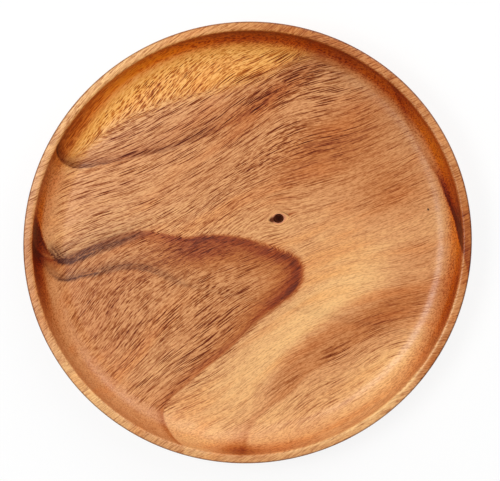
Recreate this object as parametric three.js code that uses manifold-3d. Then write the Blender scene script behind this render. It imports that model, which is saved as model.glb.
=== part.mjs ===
// A round wooden plate turned from one slab, with a dead knot let into its floor.
// Millimetres, +Z up out of the well, +X along the grain, origin at the middle of the surface it stands on.
import * as THREE from "three";
import { mergeVertices } from "three/addons/utils/BufferGeometryUtils.js";
import Module from "manifold-3d";

// Outline. Wood shrinks across the grain, so a plate turned round ends up slightly oval.
const DIAMETER_ALONG_GRAIN = 254;
const DIAMETER_ACROSS_GRAIN = 249;
const HEIGHT = 25;

// Rim and inside of the well
const RIM_WIDTH = 5.2;
const RIM_INNER_ROUND = 1.6;
const RIM_OUTER_ROUND = 1.2;
const INSIDE_LEAN_DEG = 9;
const COVE_RADIUS = 16;
const FLOOR_HEIGHT = 8.5;

// Outside wall, heel and relieved foot
const OUTSIDE_LEAN_DEG = 13;
const HEEL_RADIUS = 9;
const FOOT_WIDTH = 12;
const RECESS_DEPTH = 1.2;
const RECESS_SLOPE_DEG = 45;

// Dead knot: a lens of bark and callus round an oval heart, let into the floor
const KNOT_ALONG = 21.5;
const KNOT_ACROSS = 4.5;
const KNOT_TURN_DEG = -13;
const LENS_LENGTH = 12;
const LENS_WIDTH = 7;
const HEART_LENGTH = 5.2;
const HEART_WIDTH = 4.6;
const HEART_SUNK = 0.4;
const COLLAR_SUNK = 0.15;
const WOOD_UNDER_KNOT = 2.3;
const KNOT_CLEARANCE = 0.3;

// Fineness of the faceted round stretches
const SEGMENTS_AROUND = 128;
const SECTION_SAG = 0.03;
const KNOT_ARC_STEPS = 8;

const wasm = await Module();
wasm.setup();

// Solids and cuts

function solidFrom(geometry) {
  const bare = geometry.clone();
  bare.deleteAttribute("normal");
  bare.deleteAttribute("uv");
  const merged = mergeVertices(bare, 1e-4);
  return new wasm.Manifold(
    new wasm.Mesh({
      numProp: 3,
      vertProperties: new Float32Array(merged.attributes.position.array),
      triVerts: new Uint32Array(merged.index.array),
    }),
  );
}

function geometryFrom(solid) {
  const mesh = solid.getMesh();
  const geometry = new THREE.BufferGeometry();
  geometry.setAttribute("position", new THREE.BufferAttribute(mesh.vertProperties, 3));
  geometry.setIndex(new THREE.BufferAttribute(mesh.triVerts, 1));
  geometry.computeVertexNormals();
  return geometry;
}

// Turned section

// Replaces a corner of the section by an arc that is tangent to both of its sides.
function roundedCorner(before, corner, after, radius) {
  const toBefore = before.clone().sub(corner).normalize();
  const toAfter = after.clone().sub(corner).normalize();
  const halfAngle = Math.acos(toBefore.dot(toAfter)) / 2;
  const middle = toBefore.clone().add(toAfter).normalize();
  const centre = corner.clone().addScaledVector(middle, radius / Math.sin(halfAngle));
  const tangentLength = radius / Math.tan(halfAngle);
  const start = corner.clone().addScaledVector(toBefore, tangentLength).sub(centre);
  const turn = Math.sign(toBefore.cross(toAfter)) * (Math.PI - 2 * halfAngle);
  const widestStep = 2 * Math.acos(1 - SECTION_SAG / radius);
  const steps = Math.ceil(Math.abs(turn) / widestStep);
  const points = [];
  for (let i = 0; i <= steps; i += 1) {
    const spoke = start.clone().rotateAround(new THREE.Vector2(), (-turn * i) / steps);
    points.push(centre.clone().add(spoke));
  }
  return points;
}

function leanOver(height, degrees) {
  return height * Math.tan(THREE.MathUtils.degToRad(degrees));
}

// How much the outer rounding takes off the sharp rim edge, so that the rounded edge is the widest place.
function rimEdgeTrim() {
  const lean = THREE.MathUtils.degToRad(OUTSIDE_LEAN_DEG);
  return RIM_OUTER_ROUND * ((1 + Math.sin(lean)) / Math.cos(lean) - 1);
}

// Half of the plate's section along the grain, from the middle of the underside round to the middle of the floor.
function plateSection() {
  const radius = DIAMETER_ALONG_GRAIN / 2;
  const rimInside = radius - RIM_WIDTH;
  const wellDepth = HEIGHT - FLOOR_HEIGHT;
  const recessSlope = RECESS_DEPTH / Math.tan(THREE.MathUtils.degToRad(RECESS_SLOPE_DEG));
  const rimOuter = new THREE.Vector2(radius + rimEdgeTrim(), HEIGHT);
  const heel = new THREE.Vector2(rimOuter.x - leanOver(HEIGHT, OUTSIDE_LEAN_DEG), 0);
  const rimInner = new THREE.Vector2(rimInside, HEIGHT);
  const floorCorner = new THREE.Vector2(rimInside - leanOver(wellDepth, INSIDE_LEAN_DEG), FLOOR_HEIGHT);
  const floorMiddle = new THREE.Vector2(0, FLOOR_HEIGHT);
  const heelArc = roundedCorner(new THREE.Vector2(0, 0), heel, rimOuter, HEEL_RADIUS);
  const footInside = heelArc[0].x - FOOT_WIDTH;
  return [
    new THREE.Vector2(0, RECESS_DEPTH),
    new THREE.Vector2(footInside - recessSlope, RECESS_DEPTH),
    new THREE.Vector2(footInside, 0),
    ...heelArc,
    ...roundedCorner(heel, rimOuter, rimInner, RIM_OUTER_ROUND),
    ...roundedCorner(rimOuter, rimInner, floorCorner, RIM_INNER_ROUND),
    ...roundedCorner(rimInner, floorCorner, floorMiddle, COVE_RADIUS),
    floorMiddle,
  ];
}

function turnedPlate() {
  const turned = new THREE.LatheGeometry(plateSection(), SEGMENTS_AROUND);
  turned.rotateX(Math.PI / 2);
  turned.scale(1, DIAMETER_ACROSS_GRAIN / DIAMETER_ALONG_GRAIN, 1);
  return turned;
}

// Knot outlines

// A pointed lens of two arcs, grown all round by the given amount.
function lensOutline(grow) {
  const halfLength = LENS_LENGTH / 2;
  const halfWidth = LENS_WIDTH / 2;
  const sideRadius = (halfLength ** 2 + halfWidth ** 2) / (2 * halfWidth);
  const offset = sideRadius - halfWidth;
  const grownRadius = sideRadius + grow;
  const tipAngle = Math.asin(offset / grownRadius);
  const outline = new THREE.Shape();
  outline.absarc(0, -offset, grownRadius, tipAngle, Math.PI - tipAngle, false);
  outline.absarc(0, offset, grownRadius, Math.PI + tipAngle, 2 * Math.PI - tipAngle, false);
  return outline;
}

function heartOutline(grow) {
  const outline = new THREE.Shape();
  outline.absellipse(0, 0, HEART_LENGTH / 2 + grow, HEART_WIDTH / 2 + grow, 0, 2 * Math.PI, false, 0);
  return outline;
}

function collarOutline() {
  const outline = lensOutline(0);
  outline.holes.push(heartOutline(KNOT_CLEARANCE));
  return outline;
}

// An upright prism of an outline between two heights, turned and moved to the knot's place.
function knotPrism(outline, bottom, top) {
  const prism = new THREE.ExtrudeGeometry(outline, {
    depth: top - bottom,
    bevelEnabled: false,
    curveSegments: KNOT_ARC_STEPS,
  });
  prism.rotateZ(THREE.MathUtils.degToRad(KNOT_TURN_DEG));
  prism.translate(KNOT_ALONG, KNOT_ACROSS, bottom);
  return prism;
}

// Pieces

const pocketBottom = RECESS_DEPTH + WOOD_UNDER_KNOT;
const knotBottom = pocketBottom + KNOT_CLEARANCE;

function plateBody() {
  const pocket = knotPrism(lensOutline(KNOT_CLEARANCE), pocketBottom, HEIGHT);
  const solid = solidFrom(turnedPlate()).subtract(solidFrom(pocket));
  const oiledWood = new THREE.MeshStandardMaterial({ color: 0xc98a50, roughness: 0.42, metalness: 0 });
  const mesh = new THREE.Mesh(geometryFrom(solid), oiledWood);
  mesh.name = "plate_body";
  return mesh;
}

function knotCollar() {
  const bark = new THREE.MeshStandardMaterial({ color: 0xb87b52, roughness: 0.6, metalness: 0 });
  const mesh = new THREE.Mesh(knotPrism(collarOutline(), knotBottom, FLOOR_HEIGHT - COLLAR_SUNK), bark);
  mesh.name = "knot_collar";
  return mesh;
}

function knotHeart() {
  const deadWood = new THREE.MeshStandardMaterial({ color: 0x24120c, roughness: 0.75, metalness: 0 });
  const mesh = new THREE.Mesh(knotPrism(heartOutline(0), knotBottom, FLOOR_HEIGHT - HEART_SUNK), deadWood);
  mesh.name = "knot_heart";
  return mesh;
}

const plate = new THREE.Group();
plate.name = "wooden_plate";
plate.add(plateBody(), knotCollar(), knotHeart());

export default plate;
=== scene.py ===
"""A turned wooden plate with a dead knot in its floor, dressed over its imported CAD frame."""

import logging
import math
from collections.abc import Mapping, Sequence
from dataclasses import dataclass, field
from enum import Enum
from typing import TypeAlias

import bpy
import numpy as np
from mathutils import Matrix, Vector


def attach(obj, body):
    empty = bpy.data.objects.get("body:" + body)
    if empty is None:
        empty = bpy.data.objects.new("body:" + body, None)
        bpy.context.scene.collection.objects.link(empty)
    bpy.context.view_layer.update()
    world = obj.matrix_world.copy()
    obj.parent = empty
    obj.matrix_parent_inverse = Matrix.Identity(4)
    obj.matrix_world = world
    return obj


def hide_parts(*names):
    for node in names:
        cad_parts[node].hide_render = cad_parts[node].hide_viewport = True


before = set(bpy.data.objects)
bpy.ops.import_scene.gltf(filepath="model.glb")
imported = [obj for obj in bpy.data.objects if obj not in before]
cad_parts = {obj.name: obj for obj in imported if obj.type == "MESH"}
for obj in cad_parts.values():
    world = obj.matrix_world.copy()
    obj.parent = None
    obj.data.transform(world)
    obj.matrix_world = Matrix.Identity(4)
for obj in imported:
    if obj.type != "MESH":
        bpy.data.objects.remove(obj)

LOG = logging.getLogger("wooden_plate")
MM = 0.001

Point = tuple[float, float]
Stroke = tuple[float, float, float]
Factors = tuple[float, float, float]
Colour = tuple[float, float, float]
KnotRow = tuple[float, float | None]
Operand: TypeAlias = "Wire | float | Factors"


class Side(Enum):
    """The side of a growth line, seen along its path, on which its darkness fades out."""

    LEFT = 1.0
    RIGHT = -1.0


class Shade(Enum):
    """What a growth line does to the wood's colour."""

    WARM = "warm"
    DUSKY = "dusky"


class Blend(Enum):
    """How one colour is laid over another."""

    MIX = "MIX"
    MULTIPLY = "MULTIPLY"


def linear(colour: Colour) -> tuple[float, float, float, float]:
    """Turn a colour written as 0 to 255 screen values into the linear values of a shader.

    Args:
        colour: Red, green and blue as a screen shows them.

    Returns:
        Linear red, green and blue, with an alpha of 1.
    """
    parts = []
    for value in colour:
        share = value / 255
        parts.append(share / 12.92 if share <= 0.04045 else ((share + 0.055) / 1.055) ** 2.4)
    return (parts[0], parts[1], parts[2], 1.0)


def smooth_ramp(values: np.ndarray, low: float, high: float) -> np.ndarray:
    """Rise smoothly from 0, where the values are at low or under, to 1 at high."""
    share = np.clip((values - low) / (high - low), 0.0, 1.0)
    return share * share * (3.0 - 2.0 * share)


class Wire:
    """One output socket of a node tree, which Python expressions extend with further nodes."""

    def __init__(self, board: "Board", socket: bpy.types.NodeSocket) -> None:
        """Keep the socket and the board it belongs to."""
        self.board = board
        self.socket = socket

    def __add__(self, other: Operand) -> "Wire":
        """Add a value."""
        return self.board.calculate("ADD", self, other)

    def __radd__(self, other: float) -> "Wire":
        """Add to a number."""
        return self.board.calculate("ADD", other, self)

    def __sub__(self, other: Operand) -> "Wire":
        """Subtract a value."""
        return self.board.calculate("SUBTRACT", self, other)

    def __rsub__(self, other: float) -> "Wire":
        """Subtract from a number."""
        return self.board.calculate("SUBTRACT", other, self)

    def __mul__(self, other: Operand) -> "Wire":
        """Multiply by a value."""
        return self.board.calculate("MULTIPLY", self, other)

    def __rmul__(self, other: float) -> "Wire":
        """Multiply a number."""
        return self.board.calculate("MULTIPLY", other, self)

    def at_least(self, floor: Operand) -> "Wire":
        """Take the larger of this and another value."""
        return self.board.calculate("MAXIMUM", self, floor)

    def at_most(self, ceiling: Operand) -> "Wire":
        """Take the smaller of this and another value."""
        return self.board.calculate("MINIMUM", self, ceiling)

    def step(self, low: float, high: float) -> "Wire":
        """Rise smoothly from 0 at low to 1 at high."""
        sockets = {"Value": self, "From Min": low, "From Max": high, "To Min": 0.0, "To Max": 1.0}
        return self.board.make("ShaderNodeMapRange", {"interpolation_type": "SMOOTHSTEP"}, sockets)


class Board:
    """A node tree and the one place where its nodes are made."""

    def __init__(self, tree: bpy.types.NodeTree) -> None:
        """Start with an empty tree."""
        self.tree = tree
        self.tree.nodes.clear()

    def make(
        self,
        kind: str,
        settings: Mapping[str, object] | None = None,
        sockets: Mapping[str | int, object] | None = None,
        output: str | None = None,
    ) -> Wire:
        """Add one node.

        Args:
            kind: Blender's name of the node type.
            settings: Properties of the node, set before its sockets; "stops" fills a colour ramp.
            sockets: Values or wires of its inputs, by name or by number.
            output: Name of the output to use, where it isn't the first.

        Returns:
            The chosen output, or the first input of a node that has no outputs.
        """
        node = self.tree.nodes.new(kind)
        for name, value in (settings or {}).items():
            if name == "stops":
                self.fill_ramp(node.color_ramp, value)
            else:
                setattr(node, name, value)
        for key, value in (sockets or {}).items():
            self.plug(self.find(node.inputs, key), value)
        if not node.outputs:
            return Wire(self, node.inputs[0])
        return Wire(self, self.find(node.outputs, output or 0))

    @staticmethod
    def find(sockets: Sequence[bpy.types.NodeSocket], key: str | int) -> bpy.types.NodeSocket:
        """Find a socket that is in use.

        Args:
            sockets: A node's inputs or outputs.
            key: The socket's name, or its number among those in use.

        Returns:
            The socket.
        """
        used = [socket for socket in sockets if socket.enabled]
        if isinstance(key, int):
            return used[key]
        return next(socket for socket in used if socket.name == key)

    @staticmethod
    def fill_ramp(ramp: bpy.types.ColorRamp, stops: Sequence[tuple[float, Colour]]) -> None:
        """Give a colour ramp its stops.

        Args:
            ramp: The ramp to fill.
            stops: Place and screen colour of each stop, in rising order.
        """
        while len(ramp.elements) < len(stops):
            ramp.elements.new(1.0)
        for element, (place, colour) in zip(ramp.elements, stops):
            element.position = place
            element.color = linear(colour)

    def plug(self, socket: bpy.types.NodeSocket, value: object) -> None:
        """Link a wire to an input, or set the input's own value.

        Args:
            socket: The input.
            value: The wire or the value.
        """
        if isinstance(value, Wire):
            self.tree.links.new(value.socket, socket)
        else:
            socket.default_value = value

    def calculate(self, operation: str, left: Operand, right: Operand) -> Wire:
        """Do sums on values with a Math node, and on vectors with a Vector Math node.

        Args:
            operation: The node's operation.
            left: First value.
            right: Second value.

        Returns:
            The result.
        """
        kinds = [side.socket.type for side in (left, right) if isinstance(side, Wire)]
        node = "ShaderNodeVectorMath" if "VECTOR" in kinds else "ShaderNodeMath"
        return self.make(node, {"operation": operation}, {0: left, 1: right})

    def mix(self, share: "Wire | float", under: object, over: object, blend: Blend = Blend.MIX) -> Wire:
        """Lay a share of one colour over another."""
        settings = {"data_type": "RGBA", "blend_type": blend.value, "clamp_factor": True}
        return self.make("ShaderNodeMix", settings, {"Factor": share, "A": under, "B": over})

    def attribute(self, name: str) -> Wire:
        """Read a vector that is stored on the mesh."""
        return self.make("ShaderNodeAttribute", {"attribute_name": name}, output="Vector")

    def split(self, vector: Wire) -> tuple[Wire, Wire, Wire]:
        """Take a vector apart.

        Args:
            vector: The vector.

        Returns:
            Its three parts.
        """
        first = self.make("ShaderNodeSeparateXYZ", None, {0: vector})
        outputs = first.socket.node.outputs
        return (first, Wire(self, outputs[1]), Wire(self, outputs[2]))

    def join(self, x: "Wire | float", y: "Wire | float", z: "Wire | float") -> Wire:
        """Put a vector together from its three parts."""
        return self.make("ShaderNodeCombineXYZ", None, {0: x, 1: y, 2: z})

    def noise(self, vector: Wire, detail: float = 2.0, roughness: float = 0.5) -> Wire:
        """Make soft noise from 0 to 1, with a grain of about one unit."""
        sockets = {"Vector": vector, "Scale": 1.0, "Detail": detail, "Roughness": roughness}
        return self.make("ShaderNodeTexNoise", {"noise_dimensions": "3D"}, sockets)

    def cells(self, vector: Wire, dimensions: str) -> tuple[Wire, Wire]:
        """Make scattered cells of about one unit.

        Args:
            vector: Where to read the cells.
            dimensions: "2D" or "3D".

        Returns:
            Distance from the nearest cell's middle, and that cell's own random value.
        """
        settings = {"voronoi_dimensions": dimensions, "feature": "F1"}
        sockets = {"Vector": vector, "Scale": 1.0, "Randomness": 0.95}
        distance = self.make("ShaderNodeTexVoronoi", settings, sockets)
        return distance, Wire(self, distance.socket.node.outputs["Color"])

    def ramp(self, stops: Sequence[tuple[float, Colour]], place: Wire) -> Wire:
        """Read a colour off a ramp with these stops."""
        return self.make("ShaderNodeValToRGB", {"stops": stops}, {0: place}, "Color")

    def bump(self, height: Wire, strength: float, distance: float) -> Wire:
        """Turn a height into a bumped normal."""
        sockets = {"Strength": strength, "Distance": distance, "Height": height}
        return self.make("ShaderNodeBump", None, sockets)

    def finish(self, sockets: Mapping[str | int, object]) -> None:
        """End the tree in a principled surface with these inputs."""
        shader = self.make("ShaderNodeBsdfPrincipled", None, sockets)
        self.make("ShaderNodeOutputMaterial", None, {"Surface": shader})


def new_material(name: str) -> tuple[bpy.types.Material, Board]:
    """Start a node material.

    Args:
        name: The material's name.

    Returns:
        The material and the board of its empty node tree.
    """
    material = bpy.data.materials.new(name)
    material.use_nodes = True
    return material, Board(material.node_tree)


def new_object(
    name: str, vertices: np.ndarray, faces: Sequence[Sequence[int]], sharp_degrees: float = 30.0
) -> bpy.types.Object:
    """Make a smooth-shaded mesh object in the scene.

    Args:
        name: The object's name.
        vertices: Places in millimetres.
        faces: Vertex numbers of each face.
        sharp_degrees: Edges that bend more than this stay sharp.

    Returns:
        The object, in metres.
    """
    mesh = bpy.data.meshes.new(name)
    mesh.from_pydata((vertices * MM).tolist(), [], faces)
    mesh.validate()
    mesh.shade_smooth()
    mesh.set_sharp_from_angle(angle=math.radians(sharp_degrees))
    obj = bpy.data.objects.new(name, mesh)
    bpy.context.scene.collection.objects.link(obj)
    return obj


def places_of(obj: bpy.types.Object) -> np.ndarray:
    """Read the vertices of a mesh object.

    Args:
        obj: The object.

    Returns:
        Places in millimetres, one row each.
    """
    flat = np.zeros(len(obj.data.vertices) * 3)
    obj.data.vertices.foreach_get("co", flat)
    return flat.reshape(-1, 3) / MM


def ring_faces(rings: int, around: int, start: int = 0) -> list[tuple[int, ...]]:
    """Join rings of points by four-sided faces.

    Args:
        rings: Number of rings.
        around: Number of points in each ring.
        start: Number of the first ring's first point.

    Returns:
        Vertex numbers of each face.
    """
    faces = []
    for ring in range(rings - 1):
        low = start + ring * around
        high = low + around
        for step in range(around):
            beside = (step + 1) % around
            faces.append((low + step, low + beside, high + beside, high + step))
    return faces


def store_vectors(obj: bpy.types.Object, name: str, vectors: np.ndarray) -> None:
    """Store a row of three numbers for each vertex of a mesh, for its material to read."""
    layer = obj.data.attributes.new(name, "FLOAT_VECTOR", "POINT")
    layer.data.foreach_set("vector", vectors.astype(np.float32).ravel())


@dataclass(frozen=True)
class GrainMap:
    """A smooth map from places on the plate to distances along and across the fibres.

    Each stroke gives the way the fibres run at one place: x, y and degrees from the plate's long axis.
    """

    strokes: tuple[Stroke, ...]
    reach: float = 22.0
    stiffness: float = 0.01
    evenness: float = 0.7
    knot_spread: float = 3.6

    def bells(self, x: np.ndarray, y: np.ndarray) -> tuple[np.ndarray, np.ndarray, np.ndarray]:
        """Give the bell round each stroke, and its slopes.

        Args:
            x: Places along the grain.
            y: Places across the grain.

        Returns:
            Heights of the bells and their slopes along x and y, one column for each stroke.
        """
        drawn = np.array(self.strokes, float)
        away_x = x[:, None] - drawn[:, 0]
        away_y = y[:, None] - drawn[:, 1]
        height = np.exp(-(away_x**2 + away_y**2) / (2 * self.reach**2))
        return height, -away_x / self.reach**2 * height, -away_y / self.reach**2 * height

    def across_weights(self) -> np.ndarray:
        """Fit the distance across the fibres, so that it stays level along each stroke.

        Returns:
            Weights of x, of y and of each bell.
        """
        x, y, degrees = np.array(self.strokes, float).T
        turn = np.radians(degrees)
        _, slope_x, slope_y = self.bells(x, y)
        ones = np.ones((len(x), 1))
        zeros = np.zeros((len(x), 1))
        rows_x = np.hstack([ones, zeros, slope_x])
        rows_y = np.hstack([zeros, ones, slope_y])
        along = np.cos(turn)[:, None] * rows_x + np.sin(turn)[:, None] * rows_y
        across = np.cos(turn)[:, None] * rows_y - np.sin(turn)[:, None] * rows_x
        calm = np.eye(len(x) + 2)[2:] * self.stiffness
        system = np.vstack([along, self.evenness * across, calm])
        level = np.zeros(len(x))
        target = np.concatenate([level, level + self.evenness, level])
        return np.linalg.lstsq(system, target, rcond=None)[0]

    def coordinates(self, places: np.ndarray, knot: Point) -> np.ndarray:
        """Give each place its distance along and across the fibres, and its height.

        Args:
            places: Places in millimetres.
            knot: Middle of the knot that the fibres swing round.

        Returns:
            Along, across and height, one row for each place.
        """
        x, y = places[:, 0], places[:, 1]
        height, _, _ = self.bells(x, y)
        across = np.hstack([x[:, None], y[:, None], height]) @ self.across_weights()
        away_x, away_y = x - knot[0], y - knot[1]
        gap = np.maximum(away_x**2 + away_y**2, self.knot_spread**2)
        across -= away_y * self.knot_spread**2 / gap
        return np.stack([x, across, places[:, 2]], axis=1)


@dataclass(frozen=True)
class GrowthLine:
    """A growth line: crisp on one side, and fading into the wood on the other."""

    name: str
    path: tuple[Point, ...]
    depths: tuple[float, ...]
    fades: tuple[float, ...]
    side: Side
    lean: Point
    blurs: tuple[float, ...] = (0.8,)
    shade: Shade = Shade.WARM

    def smooth_path(self, steps: int = 6, run_out: float = 150.0) -> np.ndarray:
        """Round the path's corners and run it out straight at both ends.

        Args:
            steps: Short pieces between two points of the path.
            run_out: Length of the straight ends.

        Returns:
            Points of the smooth path.
        """
        points = np.array(self.path, float)
        way_in = points[0] - points[1]
        way_out = points[-1] - points[-2]
        first = points[0] + way_in / np.linalg.norm(way_in) * run_out
        last = points[-1] + way_out / np.linalg.norm(way_out) * run_out
        guide = np.vstack([points[0] + way_in, points, points[-1] + way_out])
        rows = [first]
        for index in range(1, len(guide) - 2):
            before, start, end, after = guide[index - 1 : index + 3]
            for step in range(steps):
                t = step / steps
                bend = (2 * before - 5 * start + 4 * end - after) * t**2
                twist = (3 * start - before - 3 * end + after) * t**3
                rows.append(0.5 * (2 * start + (end - before) * t + bend + twist))
        return np.array(rows + [points[-1], last])

    @staticmethod
    def along(values: Sequence[float], count: int) -> np.ndarray:
        """Spread values evenly over the points of a path, and hold both ends over its straight ends."""
        spread = np.interp(np.linspace(0, 1, count - 2), np.linspace(0, 1, len(values)), values)
        return np.concatenate([spread[:1], spread, spread[-1:]])

    def measure(self, places: np.ndarray, level: float) -> np.ndarray:
        """Measure places against this line, which leans as it goes down through the wood.

        Args:
            places: Places in millimetres.
            level: Height at which the path is drawn.

        Returns:
            Distance to the fading side in widths of the edge's blur, darkness before that edge cuts it,
            and way along the line.
        """
        rise = places[:, 2:3] - level
        flat = places[:, :2] - rise * np.array(self.lean)
        line = self.smooth_path()
        profiles = [self.along(values, len(line)) for values in (self.depths, self.fades, self.blurs)]
        spans = np.diff(line, axis=0)
        lengths = np.linalg.norm(spans, axis=1)
        starts = np.concatenate([[0.0], np.cumsum(lengths)])
        nearest = np.full(len(flat), 1e9)
        result = np.zeros((len(flat), 3))
        for index, (span, length) in enumerate(zip(spans, lengths)):
            away = flat - line[index]
            share = np.clip(away @ span / length**2, 0.0, 1.0)
            gap = np.linalg.norm(away - share[:, None] * span, axis=1)
            closer = gap < nearest
            nearest = np.where(closer, gap, nearest)
            turn = np.sign(span[0] * away[:, 1] - span[1] * away[:, 0]) * self.side.value
            depth, fade, blur = (
                values[index] + (values[index + 1] - values[index]) * share for values in profiles
            )
            dark = depth * np.exp(-np.maximum(turn * gap, 0.0) / fade)
            fresh = np.stack([turn * gap / blur, dark, starts[index] + share * length], axis=1)
            result = np.where(closer[:, None], fresh, result)
        return result


@dataclass(frozen=True)
class Patch:
    """A soft oval stretch of lighter or darker wood."""

    x: float
    y: float
    along: float
    across: float
    tone: float
    degrees: float = 0.0

    def spread(self, places: np.ndarray) -> np.ndarray:
        """Give the patch's tone at each place.

        Args:
            places: Places in millimetres.

        Returns:
            The tone to add at each place.
        """
        turn = math.radians(self.degrees)
        away_x, away_y = places[:, 0] - self.x, places[:, 1] - self.y
        along = (away_x * math.cos(turn) + away_y * math.sin(turn)) / self.along
        across = (away_y * math.cos(turn) - away_x * math.sin(turn)) / self.across
        return self.tone * np.exp(-(along**2 + across**2))


UPPER_PATH: tuple[Point, ...] = (
    (-77.5, 84), (-67.5, 78.5), (-55.5, 75), (-34.5, 70), (-15.5, 66), (1, 65), (17.5, 64),
    (38.5, 64.5), (56.5, 67), (72, 69.5), (85.5, 73.5),
)


def spread_all(patches: Sequence[Patch], places: np.ndarray) -> np.ndarray:
    """Add up the tones of several patches at each place."""
    return sum(patch.spread(places) for patch in patches)


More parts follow.
